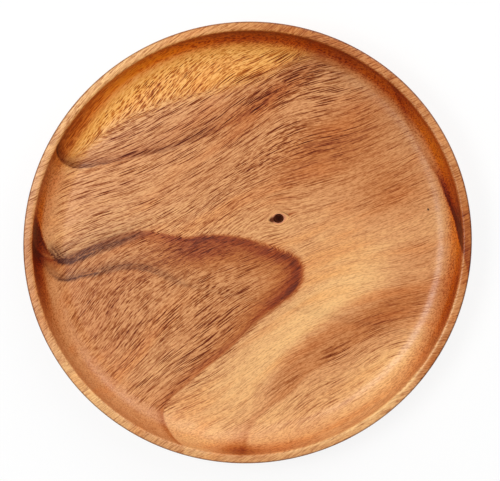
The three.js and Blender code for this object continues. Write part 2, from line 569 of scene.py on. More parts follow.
@dataclass(frozen=True)
class Figure:
    """The wood's figure: growth lines, soft patches and the way its fibres run.

    Patches of tones darken the wood, or lighten it where their tone is below 0. Patches of dashes and
    lines_drawn say how strongly short and long pores show, and wall_shade_patches where the painted shade
    of the inner wall reaches further down.
    """

    base_tone: float = 0.16
    base_dashes: float = 0.15
    base_lines: float = 0.5
    pin_hole: Point = (100.4, -26.9)
    board_grain: GrainMap = GrainMap(
        strokes=(
            (-60, 80, -12), (-25, 75, -10), (5, 80, -5), (40, 82, 0), (60, 75, 9), (75, 70, -14),
            (-5, 55, 17), (15, 57, 27), (40, 68, 18), (30, 47, 17), (50, 48, 4), (-75, 60, -10),
            (-50, 55, -4), (-20, 58, 2), (-32, 38, 13), (-75, 42, 2), (45, 33, -14), (70, 48, -11),
            (90, 40, 3), (84, 20, -10), (-8, 38, 9), (5, 18, -11), (32, 15, -18), (52, 14, -14),
            (82, -2, -2), (42, -12, -5), (68, -26, -4), (90, -22, -1), (28, -38, -1), (50, -45, -14),
            (76, -55, -17), (28, -58, -18), (58, -72, -20), (8, -67, -9), (-25, -66, 3), (-46, -79, 13),
            (52, -84, -4), (22, -86, 8), (-3, -82, 9), (-28, -93, 22), (0, -100, 14), (35, -99, 17),
        )
    )
    tongue_grain: GrainMap = GrainMap(
        strokes=(
            (-70, 24, 1), (-42, 10, -10), (-8, -6, -13), (-95, 18, 27), (-72, 6, 10), (-30, -13, 17),
            (-5, -24, 4), (-92, -4, 24), (-55, -16, 33), (-22, -32, 11), (-72, -24, 26), (-94, -28, 34),
            (-42, -38, 3), (-65, -44, 6), (-84, -50, 8),
        )
    )
    gold_grain: GrainMap = GrainMap(
        strokes=(
            (-40, 105, 34), (-10, 105, 27), (15, 105, 20), (35, 97, 6), (56, 94, -8), (-60, 92, 30),
            (-45, 91, 14), (-25, 97, 22), (5, 95, 16), (30, 91, 4), (50, 90, 4),
        )
    )
    gold_line: GrowthLine = GrowthLine(
        "gold_line",
        path=((-75, 84), (-55.5, 88.5), (-38, 93), (-11, 92.5), (12, 88), (41, 82.5), (65.5, 81.5)),
        depths=(1.0,),
        fades=(60.0,),
        side=Side.LEFT,
        lean=(0.0, 0.6),
        blurs=(6.0,),
    )
    lines: tuple[GrowthLine, ...] = (
        GrowthLine(
            "upper_line",
            path=UPPER_PATH,
            depths=(0.25, 0.22, 0.2, 0.16, 0.2, 0.22, 0.2, 0.15),
            fades=(4.0, 4.0, 5.0, 8.0, 12.0, 14.0),
            side=Side.LEFT,
            lean=(-0.06, 0.95),
            blurs=(1.0, 1.0, 1.2, 2.0, 3.0, 3.0),
        ),
        GrowthLine(
            "upper_dusk",
            path=UPPER_PATH[:7],
            depths=(0.9, 0.9, 0.8, 0.6, 0.5, 0.3, 0.0),
            fades=(3.4, 3.4, 4.0, 5.0),
            side=Side.LEFT,
            lean=(-0.06, 0.95),
            blurs=(1.2, 1.2, 1.6),
            shade=Shade.DUSKY,
        ),
        GrowthLine(
            "tongue_line",
            path=(
                (-103, 37), (-96.5, 36.5), (-85, 36.5), (-65, 35), (-52, 31.5), (-40, 23.5), (-30.5, 17),
                (-16.5, 12), (-1.5, 3), (9, -6.5), (17.5, -15), (21.5, -23.5), (19, -31.5), (11.5, -37),
                (0.5, -40), (-15.5, -43.5), (-36.5, -51), (-56.5, -56), (-70, -60), (-79.6, -62.5),
                (-85.7, -66.6), (-91.1, -74.3), (-96.1, -85.7),
            ),
            depths=(0.2, 0.2, 0.4, 0.5, 0.6, 0.85, 0.9, 0.4, 0.3, 0.34, 0.36),
            fades=(3.0, 3.0, 5.0, 8.0, 10.0, 10.0, 8.0, 6.0, 4.0, 3.0, 2.6),
            side=Side.RIGHT,
            lean=(1.37, 1.01),
            blurs=(1.2, 1.2, 1.4, 2.0, 3.2, 4.0, 3.4, 2.4, 1.8, 1.4, 1.4),
        ),
        GrowthLine(
            "tongue_root",
            path=(
                (-104.5, 53), (-105, 48.7), (-105.1, 44.8), (-104.5, 40.5), (-103.5, 36.6), (-101.3, 33.8),
                (-96.9, 31.9), (-90.7, 31.4), (-84.5, 31.1), (-78.3, 30.7), (-72.4, 29.8), (-66.2, 29.4),
                (-60, 29), (-53.8, 28.6), (-45.3, 27),
            ),
            depths=(0.0, 0.5, 1.2, 1.6, 1.6, 1.5, 1.3, 1.2, 1.0, 0.7, 0.0),
            fades=(5.6,),
            side=Side.LEFT,
            lean=(0.0, 0.0),
            blurs=(1.8,),
            shade=Shade.DUSKY,
        ),
        GrowthLine(
            "root_wall",
            path=(
                (-101.2, 65.4), (-102.2, 61.8), (-103.5, 57.2), (-104.5, 53), (-105, 48.7), (-105.1, 44.8),
                (-104.5, 41.2), (-103, 37), (-99, 33),
            ),
            depths=(0.4, 0.7, 0.9, 0.9, 0.8, 0.6, 0.3, 0.0),
            fades=(5.0,),
            side=Side.RIGHT,
            lean=(0.0, 0.0),
            blurs=(0.9,),
        ),
        GrowthLine(
            "second_line",
            path=(
                (-111, 41), (-110.4, 34.6), (-109, 28.8), (-104.3, 24.4), (-98.1, 22.7), (-92.4, 21.2),
                (-86.7, 19.8), (-77.9, 18.2), (-69.6, 15.6), (-61.8, 11.9), (-55.3, 6), (-49.5, -1.5),
                (-43.5, -8.5), (-35, -15),
            ),
            depths=(0.4, 0.8, 1.3, 1.4, 1.3, 1.0, 0.7, 0.5, 0.2),
            fades=(3.0,),
            side=Side.LEFT,
            lean=(0.0, 0.0),
            blurs=(1.8,),
            shade=Shade.DUSKY,
        ),
        GrowthLine(
            "streak_upper",
            path=(
                (88.5, -64), (67, -60.5), (47, -59), (29.5, -59.5), (14, -62.5), (-6, -68), (-24.5, -76.5),
                (-39.5, -85),
            ),
            depths=(0.08, 0.24, 0.34, 0.36, 0.28, 0.05),
            fades=(22.0,),
            side=Side.LEFT,
            lean=(0.58, 0.28),
            blurs=(10.0, 9.0, 7.0, 6.0, 6.0),
        ),
        GrowthLine(
            "streak_lower",
            path=(
                (68.8, -83.2), (54.5, -80.3), (34, -79), (17.2, -80.5), (-1.1, -83), (-12.3, -87.4),
                (-22.6, -90), (-31.6, -91.5), (-39.4, -94.2), (-46.1, -98.4), (-49.3, -102.8),
            ),
            depths=(0.05, 0.12, 0.18, 0.2, 0.24, 0.24, 0.2),
            fades=(8.0,),
            side=Side.RIGHT,
            lean=(0.0, 0.0),
            blurs=(1.5,),
        ),
        GrowthLine(
            "wall_line",
            path=(
                (111.9, 40), (111.1, 29), (110.5, 21.1), (110.3, 8.6), (111.8, -2.7), (113, -13.2),
                (112.3, -25.3), (111.5, -36.1), (109.5, -46.8), (107.6, -56.9),
            ),
            depths=(0.3, 0.3, 0.2, 0.15, 0.35, 0.85, 1.2, 1.3, 1.3),
            fades=(2.2, 2.2, 2.2, 2.6, 4.0, 5.0, 5.0),
            side=Side.LEFT,
            lean=(0.0, 0.0),
            blurs=(1.8, 1.6, 1.4, 1.2, 0.8, 0.7, 0.7),
        ),
    )
    tones: tuple[Patch, ...] = (
        Patch(0, -62, 85, 16, -0.18, 17),
        Patch(48, -36, 36, 26, -0.04),
        Patch(27.6, 3.8, 2.8, 0.5, 0.5, -2),
        Patch(50, -100, 50, 16, -0.21),
        Patch(62, -70, 30, 9, 0.16),
        # painted shade: a dark orange strip on the wall at the bottom, just inside the rim
        Patch(-55, -105, 12, 2.4, 0.36, -28),
        Patch(66, 30, 46, 20, 0.32, 4),
        Patch(86, -8, 26, 20, 0.24),
        Patch(80, -45, 20, 14, 0.16),
        Patch(-10, 45, 30, 12, 0.1, 4),
        Patch(60, 70, 34, 10, 0.08, 8),
        Patch(-35, -92, 30, 12, -0.12),
        Patch(30, 62, 25, 8, 0.12, 10),
        Patch(-80, -42, 22, 16, -0.08),
        Patch(10, 72, 60, 14, 0.11),
        Patch(-62, 62, 40, 14, 0.08),
        Patch(-28, 5, 22, 7, 0.22, -20),
        Patch(-70, 14, 22, 8, 0.07, -10),
        Patch(-96, 2, 18, 20, 0.06),
        Patch(92, 68, 10, 9, 0.14),
    )
    dashes: tuple[Patch, ...] = (
        Patch(-20, 104, 75, 20, 0.8),
        Patch(-75, -10, 45, 50, 0.45),
        Patch(-70, -42, 30, 14, -0.25, 20),
        Patch(-28, -17, 9, 8, 0.5),
        Patch(-58, -8, 20, 14, -0.15),
        Patch(-10, 20, 40, 20, 0.25),
        Patch(60, 70, 34, 10, 0.4),
        Patch(0, -62, 90, 16, -0.12, 17),
        Patch(-10, 80, 60, 9, -0.25, 2),
        Patch(36, 42, 24, 8, 0.5, 10),
    )
    lines_drawn: tuple[Patch, ...] = (
        Patch(0, 50, 90, 34, 0.42, 2),
        Patch(0, 80, 80, 14, 0.85, 2),
        Patch(-55, -38, 45, 18, 1.05, 20),
        Patch(30, 38, 24, 14, 0.1),
        Patch(66, 28, 42, 17, 0.05, 4),
        Patch(66, 72, 42, 24, 0.5),
        Patch(0, -62, 90, 16, -0.5, 17),
        Patch(48, -36, 36, 26, -0.25),
        Patch(0, -80, 60, 8, 0.35, 2),
    )
    rim_tones: tuple[Patch, ...] = (
        Patch(112, -45, 50, 50, 0.26),
        Patch(-30, 118, 35, 30, -0.14),
        Patch(-117, -37, 40, 40, -0.28),
        Patch(108, 62, 40, 40, 0.12),
        Patch(-75, 95, 35, 35, -0.02),
        Patch(72, 98, 35, 30, 0.2),
        Patch(30, -116, 30, 25, -0.06),
        Patch(68, -105, 22, 22, 0.42),
    )
    # painted highlight: lighter wood on the rim's inner edge at one side, in place of a gloss line
    rim_painted_highlight: Patch = Patch(50, -105, 60, 60, -0.3)
    # painted shade on the inner wall, lighter or darker by place
    wall_shade_tones: tuple[Patch, ...] = (
        Patch(114, -48, 30, 30, -0.24),
        Patch(58, -108, 25, 25, 0.3),
        Patch(-20, 120, 40, 30, -0.38),
        Patch(108, 62, 40, 30, 0.06),
        Patch(-68, 99, 25, 25, 0.24),
        Patch(-98, 70, 25, 25, -0.2),
        Patch(-116, 30, 22, 22, 0.26),
        Patch(54, 112, 35, 25, 0.2),
        Patch(119, 4, 26, 26, -0.18),
    )
    # painted shade: where the darkening of the inner wall reaches further down
    wall_shade_patches: tuple[Patch, ...] = (
        Patch(-105, 55, 55, 45, 1.1),
        Patch(100, -65, 60, 60, 1.1),
        Patch(116, -15, 35, 35, 0.5),
        Patch(-36, -115, 26, 26, 0.4),
    )

    def dress(self, obj: bpy.types.Object, level: float, knot: Point) -> None:
        """Store the figure on a mesh, for the wood's material to read.

        Args:
            obj: The plate's mesh object.
            level: Height of the floor, at which the figure is drawn.
            knot: Middle of the knot.
        """
        places = places_of(obj)
        store_vectors(obj, "board_grain", self.board_grain.coordinates(places, knot))
        store_vectors(obj, "tongue_grain", self.tongue_grain.coordinates(places, knot))
        store_vectors(obj, "gold_grain", self.gold_grain.coordinates(places, knot))
        for line in (self.gold_line, *self.lines):
            store_vectors(obj, line.name, line.measure(places, level))
        tone = self.base_tone + spread_all(self.tones, places)
        dashes = self.base_dashes + spread_all(self.dashes, places)
        lines = self.base_lines + spread_all(self.lines_drawn, places)
        store_vectors(obj, "tone", np.stack([tone, dashes, lines], axis=1))


@dataclass(frozen=True)
class PoreLayer:
    """A layer of open pores, each a thin dash along the fibres.

    The stretch counts pores for each millimetre along, across and up the fibres, and its last number is 0
    for a flat surface. The size is half of a pore's width, against the distance between pores.
    """

    stretch: Factors
    size: float
    strength: float
    core: float = 0.45

    def scatter(self, board: Board, fibre: Wire) -> Wire:
        """Scatter the pores along the fibres: 0 between them, and up to 1 in them."""
        gap, chance = board.cells(fibre * self.stretch, "3D" if self.stretch[2] else "2D")
        return (1.0 - gap.step(self.size * self.core, self.size)) * (0.5 + chance)


@dataclass(frozen=True)
class WoodWires:
    """The wires that several steps of the oiled wood use."""

    board: Board
    fibre: Wire
    flat: Wire
    up: Wire
    # how much painted shade the inner wall takes
    wall: Wire
    rim: Wire
    steep: Wire
    tongue: Wire
    gold: Wire
    streak: Wire
    ragged: Wire


@dataclass(frozen=True)
class OiledWood:
    """Oiled hardwood with open pores, dark growth lines and a satin surface.

    A grain field counts the cells of a noise for each millimetre along, across and up the fibres.
    """

    name: str = "oiled_wood"
    stops: tuple[tuple[float, Colour], ...] = (
        (0.0, (242, 190, 125)),
        (0.25, (217, 154, 99)),
        (0.5, (187, 111, 53)),
        (0.75, (148, 62, 12)),
        (1.0, (100, 34, 6)),
    )
    golden_stops: tuple[tuple[float, Colour], ...] = (
        (0.0, (255, 208, 134)),
        (0.3, (240, 172, 84)),
        (0.6, (194, 108, 28)),
        (1.0, (126, 54, 8)),
    )
    pore_tint: Colour = (162, 124, 96)
    dusk_tint: Colour = (128, 102, 96)
    red_tint: Colour = (255, 240, 222)
    # painted shade: a warm darkening multiplied into the inner wall, in place of shade and warm bounced
    # light
    wall_shade_tint: Colour = (240, 168, 42)
    # painted shade: darkens the rim's outer edge, where its rounding turns away from the light
    edge_shade_tint: Colour = (140, 108, 92)
    hole_colour: Colour = (52, 24, 14)
    streak_tone: float = 0.22
    tongue_tone: float = 0.12
    # painted shade: how much darker the inner wall's tone is
    wall_shade_tone: float = 0.15
    gold_tone: float = 0.05
    pore_tone: float = 0.4
    gold_pore_tone: float = 0.35
    rim_hides_gold: float = 0.8
    rim_hides_lines: float = 0.75
    rim_hides_pores: float = 0.55
    # how strongly the painted shade darkens the rim's outer edge
    edge_shade: float = 0.75
    sway: float = 1.8
    ripple: float = 0.5
    raggedness: float = 1.6
    sway_grain: Factors = (0.025, 0.04, 0.04)
    ripple_grain: Factors = (0.07, 0.2, 0.2)
    ragged_grain: Factors = (0.2, 1.15, 1.15)
    streak_grain: Factors = (0.014, 0.3, 0.3)
    crowd_grain: Factors = (0.02, 0.14, 0.14)
    fine_grain: Factors = (0.5, 2.2, 2.2)
    red_grain: Factors = (0.016, 0.09, 0.09)
    warm_rings: Factors = (0.5, 0.02, 0.1)
    dusk_rings: Factors = (1.6, 0.03, 0.1)
    short: PoreLayer = PoreLayer((0.2, 1.05, 0.0), 0.38, 0.62)
    middling: PoreLayer = PoreLayer((0.12, 0.9, 0.0), 0.3, 0.62)
    long: PoreLayer = PoreLayer((0.038, 0.85, 0.0), 0.29, 0.75)
    thin: PoreLayer = PoreLayer((0.05, 1.35, 0.0), 0.36, 0.58)
    stipple: PoreLayer = PoreLayer((0.12, 1.2, 1.2), 0.6, 1.0)
    pin_hole_radius: float = 0.6
    pin_hole_edge: float = 1.2
    roughness: float = 0.42
    specular: float = 0.1
    coat: float = 0.56
    coat_roughness: float = 0.27
    relief_strength: float = 0.4
    relief_depth: float = 0.0002

    def fibre_places(self, board: Board) -> tuple[Wire, Wire]:
        """Give places along, across and up the fibres, which run another way in the tongue and the gold.

        Args:
            board: The board to add the nodes to.

        Returns:
            The places, and the distance inside the tongue.
        """
        tongue, _, _ = board.split(board.attribute("tongue_line"))
        gold, _, _ = board.split(board.attribute("gold_line"))
        kind = {"data_type": "VECTOR"}
        grain = board.attribute("board_grain")
        shares = ((gold.step(-0.05, 0.05), "gold_grain"), (tongue.step(-0.15, 0.15), "tongue_grain"))
        for share, name in shares:
            inner = board.attribute(name)
            grain = board.make("ShaderNodeMix", kind, {"Factor": share, "A": grain, "B": inner})
        along, across, up = board.split(grain)
        sway = board.noise(grain * self.sway_grain, 1.0) - 0.5
        ripple = board.noise(grain * self.ripple_grain, 2.0) - 0.5
        return board.join(along, across + sway * self.sway + ripple * self.ripple, up), tongue

    def read(self, board: Board) -> WoodWires:
        """Read what is stored on the mesh, and make the noises that several steps use.

        Args:
            board: The board to add the nodes to.

        Returns:
            The wires.
        """
        fibre, tongue = self.fibre_places(board)
        along, across, up = board.split(fibre)
        # wall is the painted shade of the inner wall
        wall, rim, steep = board.split(board.attribute("turning"))
        gold_gap, _, _ = board.split(board.attribute("gold_line"))
        ragged = (board.noise(fibre * self.ragged_grain, 1.5) - 0.5) * self.raggedness
        return WoodWires(
            board=board,
            fibre=fibre,
            flat=board.join(along, across + up * 0.3, 0.0),
            up=up,
            wall=wall,
            rim=rim,
            steep=steep,
            tongue=tongue.step(-0.4, 0.4),
            gold=(gold_gap + ragged).step(-1.0, 1.0) * (1.0 - rim * self.rim_hides_gold),
            streak=board.noise(fibre * self.streak_grain, 4.0, 0.6) - 0.5,
            ragged=ragged,
        )

    def grown_tone(self, wires: WoodWires, figure: Figure) -> tuple[Wire, Wire]:
        """Lay the growth lines over the wood's own tone, with painted shade and highlight on the wall and
        rim added.

        Args:
            wires: The shared wires.
            figure: The wood's figure, for its growth lines.

        Returns:
            The tone, from pale to dark, and how dusky the wood is.
        """
        board = wires.board
        base, _, _ = board.split(board.attribute("tone"))
        # the second part of edges holds the rim's tones with a painted highlight on its inner edge, and the
        # painted shade on the wall
        _, edge_tone, _ = board.split(board.attribute("edges"))
        tone = base + wires.streak * self.streak_tone + wires.tongue * self.tongue_tone
        # painted shade: the inner wall's tone is darkened
        tone = tone + wires.wall * self.wall_shade_tone + edge_tone
        dusk = 0.0
        for line in figure.lines:
            gap, dark, way = board.split(board.attribute(line.name))
            edge = gap + wires.ragged
            place = board.join(edge, way, wires.up)
            shade = dark * edge.step(-1.0, 1.0) * (1.0 - wires.rim * self.rim_hides_lines)
            if line.shade is Shade.DUSKY:
                rings = board.noise(place * self.dusk_rings, 1.0)
                dusk = dusk + shade * (rings * 2.4 - 0.2).at_least(0.1)
            else:
                rings = board.noise(place * self.warm_rings, 2.0)
                tone = tone + shade * (0.6 + rings * 0.8)
        return tone + wires.gold * self.gold_tone, dusk.at_most(1.0)

    def open_pores(self, wires: WoodWires) -> Wire:
        """Lay the layers of pores together: dashes and lines on flat wood, dots on steep wood.

        Args:
            wires: The shared wires.

        Returns:
            0 between the pores and up to 1 in them.
        """
        board = wires.board
        _, dash_strength, line_strength = board.split(board.attribute("tone"))
        short = self.short.scatter(board, wires.flat) * self.short.strength
        middling = self.middling.scatter(board, wires.flat) * (self.middling.strength - wires.gold * 0.3)
        long = self.long.scatter(board, wires.flat) * self.long.strength
        thin = self.thin.scatter(board, wires.flat) * self.thin.strength
        stipple = self.stipple.scatter(board, wires.fibre) * self.stipple.strength
        crowd = board.noise(wires.fibre * self.crowd_grain, 2.0).step(0.3, 0.7)
        fine = board.noise(wires.fibre * self.fine_grain, 1.0).step(0.46, 0.66)
        dashes = (short + middling) * dash_strength
        lines = (long + thin) * line_strength.at_least(0.24) * (0.4 + crowd * 0.6)
        level = (dashes + lines) * (1.0 - wires.steep) * (1.0 - wires.rim * self.rim_hides_pores)
        dots = stipple * (wires.steep * (0.14 + wires.wall * 0.32) + wires.rim * 0.25)
        return (level + dots + fine * 0.2).at_most(1.0)

    def colour(self, wires: WoodWires, tone: Wire, dusk: Wire, pores: Wire) -> Wire:
        """Turn the tone into the wood's colour.

        Args:
            wires: The shared wires.
            tone: From pale to dark.
            dusk: How dusky the wood is.
            pores: Where the pores are.

        Returns:
            The colour.
        """
        board = wires.board
        outer_edge, _, hole = board.split(board.attribute("edges"))
        tone = tone + pores * (self.pore_tone + wires.gold * self.gold_pore_tone)
        red = board.noise(wires.fibre * self.red_grain, 2.0).step(0.48, 0.75)
        washes = (
            (red, self.red_tint),
            (pores * (1.0 - wires.gold * 0.8), self.pore_tint),
            (dusk, self.dusk_tint),
            # painted shade on the inner wall
            (wires.wall, self.wall_shade_tint),
            # painted shade on the rim's outer edge
            (outer_edge * self.edge_shade, self.edge_shade_tint),
        )
        colour = board.mix(wires.gold, board.ramp(self.stops, tone), board.ramp(self.golden_stops, tone))
        for share, tint in washes:
            colour = board.mix(share, colour, linear(tint), Blend.MULTIPLY)
        in_hole = 1.0 - hole.step(self.pin_hole_radius, self.pin_hole_edge)
        return board.mix(in_hole, colour, linear(self.hole_colour))

    def build(self, figure: Figure) -> bpy.types.Material:
        """Make the material.

        Args:
            figure: The wood's figure, for its growth lines.

        Returns:
            The material.
        """
        material, board = new_material(self.name)
        wires = self.read(board)
        tone, dusk = self.grown_tone(wires, figure)
        pores = self.open_pores(wires)
        relief = (wires.streak + 0.5) * 0.3 - pores
        board.finish(
            {
                "Base Color": self.colour(wires, tone, dusk, pores),
                "Roughness": self.roughness + pores * 0.2 + wires.streak * 0.12,
                "Normal": board.bump(relief, self.relief_strength, self.relief_depth),
                "Specular IOR Level": self.specular,
                "Coat Weight": (self.coat - pores * 0.6 + wires.streak * 0.9).at_least(0.04),
                "Coat Roughness": self.coat_roughness,
            }
        )
        return material


@dataclass(frozen=True)
class KnotCallus:
    """Pinkish callus wood grown round a dead branch, with a dark seam."""

    name: str = "knot_callus"
    pale: Colour = (228, 166, 106)
    pink: Colour = (204, 134, 98)
    seam: Colour = (92, 40, 16)
    fleck_grain: Factors = (900.0, 900.0, 900.0)

    def build(self) -> bpy.types.Material:
        """Make the material.

        Returns:
            The material.
        """
        material, board = new_material(self.name)
        share, turn, tip = board.split(board.attribute("knot"))
        place = board.make("ShaderNodeTexCoord", None, None, "Object")
        fleck = board.noise(place * self.fleck_grain, 3.0, 0.6)
        rings = board.noise(board.join(share * 5.0, turn * 0.8, 0.0), 2.0)
        inner = 1.0 - share.step(0.0, 0.3)
        dark = (tip + inner * 0.3 + (rings - 0.5) * 0.3 + (fleck - 0.5) * 0.4).at_least(0.0)
        colour = board.mix(share.step(0.2, 0.8), linear(self.pink), linear(self.pale))
        board.finish(
            {
                "Base Color": board.mix(dark.at_most(1.0), colour, linear(self.seam)),
                "Roughness": 0.5 + fleck * 0.2,
                "Normal": board.bump(rings + fleck, 0.5, 0.0003),
                "Specular IOR Level": 0.1,
                "Coat Weight": 0.05,
                "Coat Roughness": 0.3,
            }
        )
        return material


@dataclass(frozen=True)
class DeadKnot:
    """Nearly black dead wood, cracked and dull."""

    name: str = "dead_knot"
    black: Colour = (38, 11, 4)
    brown: Colour = (104, 44, 18)
    fleck_grain: Factors = (1100.0, 1100.0, 1100.0)

    def build(self) -> bpy.types.Material:
        """Make the material.

        Returns:
            The material.
        """
        material, board = new_material(self.name)
        share, turn, _ = board.split(board.attribute("knot"))
        place = board.make("ShaderNodeTexCoord", None, None, "Object")
        fleck = board.noise(place * self.fleck_grain, 4.0, 0.65)
        cracks = board.noise(board.join(share * 2.0, turn * 2.4, 0.0), 2.0)
        light = (share.step(0.55, 1.0) * 0.5 + (fleck - 0.45) * 0.9).at_least(0.0)
        board.finish(
            {
                "Base Color": board.mix(light.at_most(1.0), linear(self.black), linear(self.brown)),
                "Roughness": 0.62 + fleck * 0.25,
                "Normal": board.bump(cracks + fleck, 0.7, 0.0005),
                "Specular IOR Level": 0.05,
            }
        )
        return material


@dataclass(frozen=True)
class Knot:
    """The dead knot: a lens of callus round a sunken heart, seated in a pocket of the floor.

    Each row of the collar or the heart has its share of the way out, and how far it lies under the floor,
    or None for the piece's underside.
    """

    along: float = 21.5
    across: float = 4.5
    degrees: float = -13.0
    lens_length: float = 12.0
    lens_width: float = 7.0
    heart_length: float = 5.2
    heart_width: float = 4.6
    bottom: float = 3.8
    pocket_bottom: float = 3.5
    clearance: float = 0.3
    collar_grow: float = 0.24
    collar_hole_grow: float = 0.22
    collar_below: float = 0.03
    gape: float = 0.16
    gape_turn: float = 0.9
    heart_grow: float = 0.02
    heart_uneven: float = 0.12
    collar_rows: tuple[KnotRow, ...] = (
        (0.0, None), (0.0, 0.5), (0.03, 0.32), (0.1, 0.2), (0.25, 0.11), (0.45, 0.08),
        (0.65, 0.07), (0.82, 0.07), (0.93, 0.07), (0.985, 0.08), (1.0, 0.12), (1.0, None),
    )
    heart_rows: tuple[KnotRow, ...] = (
        (0.001, None), (1.0, None), (1.0, 0.52), (0.985, 0.44), (0.94, 0.42), (0.85, 0.5),
        (0.7, 0.62), (0.5, 0.72), (0.3, 0.78), (0.12, 0.82), (0.001, 0.84),
    )
    sharp_degrees: float = 50.0
    around: int = 96

    @property
    def directions(self) -> np.ndarray:
        """Directions round the knot's middle, in radians."""
        return np.linspace(0, 2 * math.pi, self.around, endpoint=False)

    def level_ring(self, height: float) -> np.ndarray:
        """Give the same height in every direction."""
        return np.full(self.around, height)

    def lens_radius(self, turn: np.ndarray, grow: float) -> np.ndarray:
        """Give the distance from the knot's middle to the lens outline.

        Args:
            turn: Directions from the middle, in radians.
            grow: How far the outline is grown all round.

        Returns:
            The distance in each direction.
        """
        half_length, half_width = self.lens_length / 2, self.lens_width / 2
        side = (half_length**2 + half_width**2) / (2 * half_width)
        offset = side - half_width
        rise = np.abs(np.sin(turn))
        return -offset * rise + np.sqrt((offset * rise) ** 2 + (side + grow) ** 2 - offset**2)

    def heart_radius(self, turn: np.ndarray, grow: float) -> np.ndarray:
        """Give the distance, in each direction, from the middle to the heart outline, grown all round."""
        half_length, half_width = self.heart_length / 2 + grow, self.heart_width / 2 + grow
        return 1.0 / np.sqrt((np.cos(turn) / half_length) ** 2 + (np.sin(turn) / half_width) ** 2)

    def place(self, local: np.ndarray) -> np.ndarray:
        """Turn and move places from the knot's middle to the plate.

        Args:
            local: Places round the knot's middle.

        Returns:
            Places on the plate.
        """
        turn = math.radians(self.degrees)
        x = local[:, 0] * math.cos(turn) - local[:, 1] * math.sin(turn) + self.along
        y = local[:, 0] * math.sin(turn) + local[:, 1] * math.cos(turn) + self.across
        return np.stack([x, y, local[:, 2]], axis=1)

    def rings(
        self, name: str, radii: Sequence[np.ndarray], heights: Sequence[np.ndarray], capped: bool = False
    ) -> bpy.types.Object:
        """Make a piece from rings of points.

        Args:
            name: The piece's name.
            radii: Distance of each ring from the middle, for each direction.
            heights: Height of each ring, for each direction.
            capped: Whether flat faces close the first and the last ring.

        Returns:
            The piece.
        """
        turn = self.directions
        rows = [
            np.stack([radius * np.cos(turn), radius * np.sin(turn), height], axis=1)
            for radius, height in zip(radii, heights)
        ]
        faces = ring_faces(len(rows), self.around)
        if capped:
            numbers = range(self.around)
            last = (len(rows) - 1) * self.around
            faces += [tuple(reversed(numbers)), tuple(number + last for number in numbers)]
        return new_object(name, self.place(np.vstack(rows)), faces, self.sharp_degrees)

    def cutter(self, top: float) -> bpy.types.Object:
        """Make the block that cuts the pocket.

        Args:
            top: Height of the block's top.

        Returns:
            The block.
        """
        radius = self.lens_radius(self.directions, self.clearance)
        heights = [self.level_ring(self.pocket_bottom), self.level_ring(top)]
        return self.rings("knot_pocket", [radius, radius], heights, capped=True)

    def collar(self, level: float) -> bpy.types.Object:
        """Make the lens of callus: a ring with a soft top, open in the middle for the heart.

        Args:
            level: Height of the floor.

        Returns:
            The collar.
        """
        turn = self.directions
        gape = self.gape * smooth_ramp(np.cos(turn - self.gape_turn), 0.55, 1.0)
        outer = self.lens_radius(turn, self.collar_grow) - gape
        inner = self.heart_radius(turn, self.collar_hole_grow)
        tail = np.exp(-((np.sin(turn) / 0.42) ** 2)) * np.where(np.cos(turn) < 0, 1.0, 0.0)
        crescent = np.exp(-(((turn - 0.35) / 0.4) ** 2))
        radii, heights, marks = [], [], []
        for share, sink in (*self.collar_rows, self.collar_rows[0]):
            wave = 0.04 * np.sin(5 * turn + 9 * share) + 0.03 * np.sin(11 * turn - 7 * share)
            top = self.level_ring(self.bottom) if sink is None else level - sink + wave
            dark = tail * 1.5 * (1.0 - share**3) + crescent * share**5
            radii.append(inner + (outer - inner) * share)
            heights.append(np.minimum(top, level - self.collar_below))
            marks.append(np.stack([self.level_ring(share), turn, dark], axis=1))
        collar = self.rings("knot_collar_wood", radii, heights)
        store_vectors(collar, "knot", np.vstack(marks))
        return collar

    def heart(self, level: float) -> bpy.types.Object:
        """Make the dead heart: an uneven plug, sunken and cracked.

        Args:
            level: Height of the floor.

        Returns:
            The heart.
        """
        turn = self.directions
        uneven = self.heart_uneven * np.sin(3 * turn + 0.6) + 0.07 * np.sin(7 * turn)
        inset = np.minimum(uneven, self.heart_uneven) - self.heart_uneven
        edge = self.heart_radius(turn, self.heart_grow) + inset
        radii, heights, marks = [], [], []
        for share, sink in self.heart_rows:
            crack = 0.1 * np.sin(4 * turn + 5 * share) * share * (1 - share) * 4
            rough = 0.05 * np.sin(13 * turn + 17 * share)
            top = self.level_ring(self.bottom) if sink is None else level - sink + (crack + rough) * share
            radii.append(edge * share)
            heights.append(top)
            marks.append(np.stack([self.level_ring(share), turn, 0 * turn], axis=1))
        heart = self.rings("knot_heart_wood", radii, heights)
        store_vectors(heart, "knot", np.vstack(marks))
        return heart


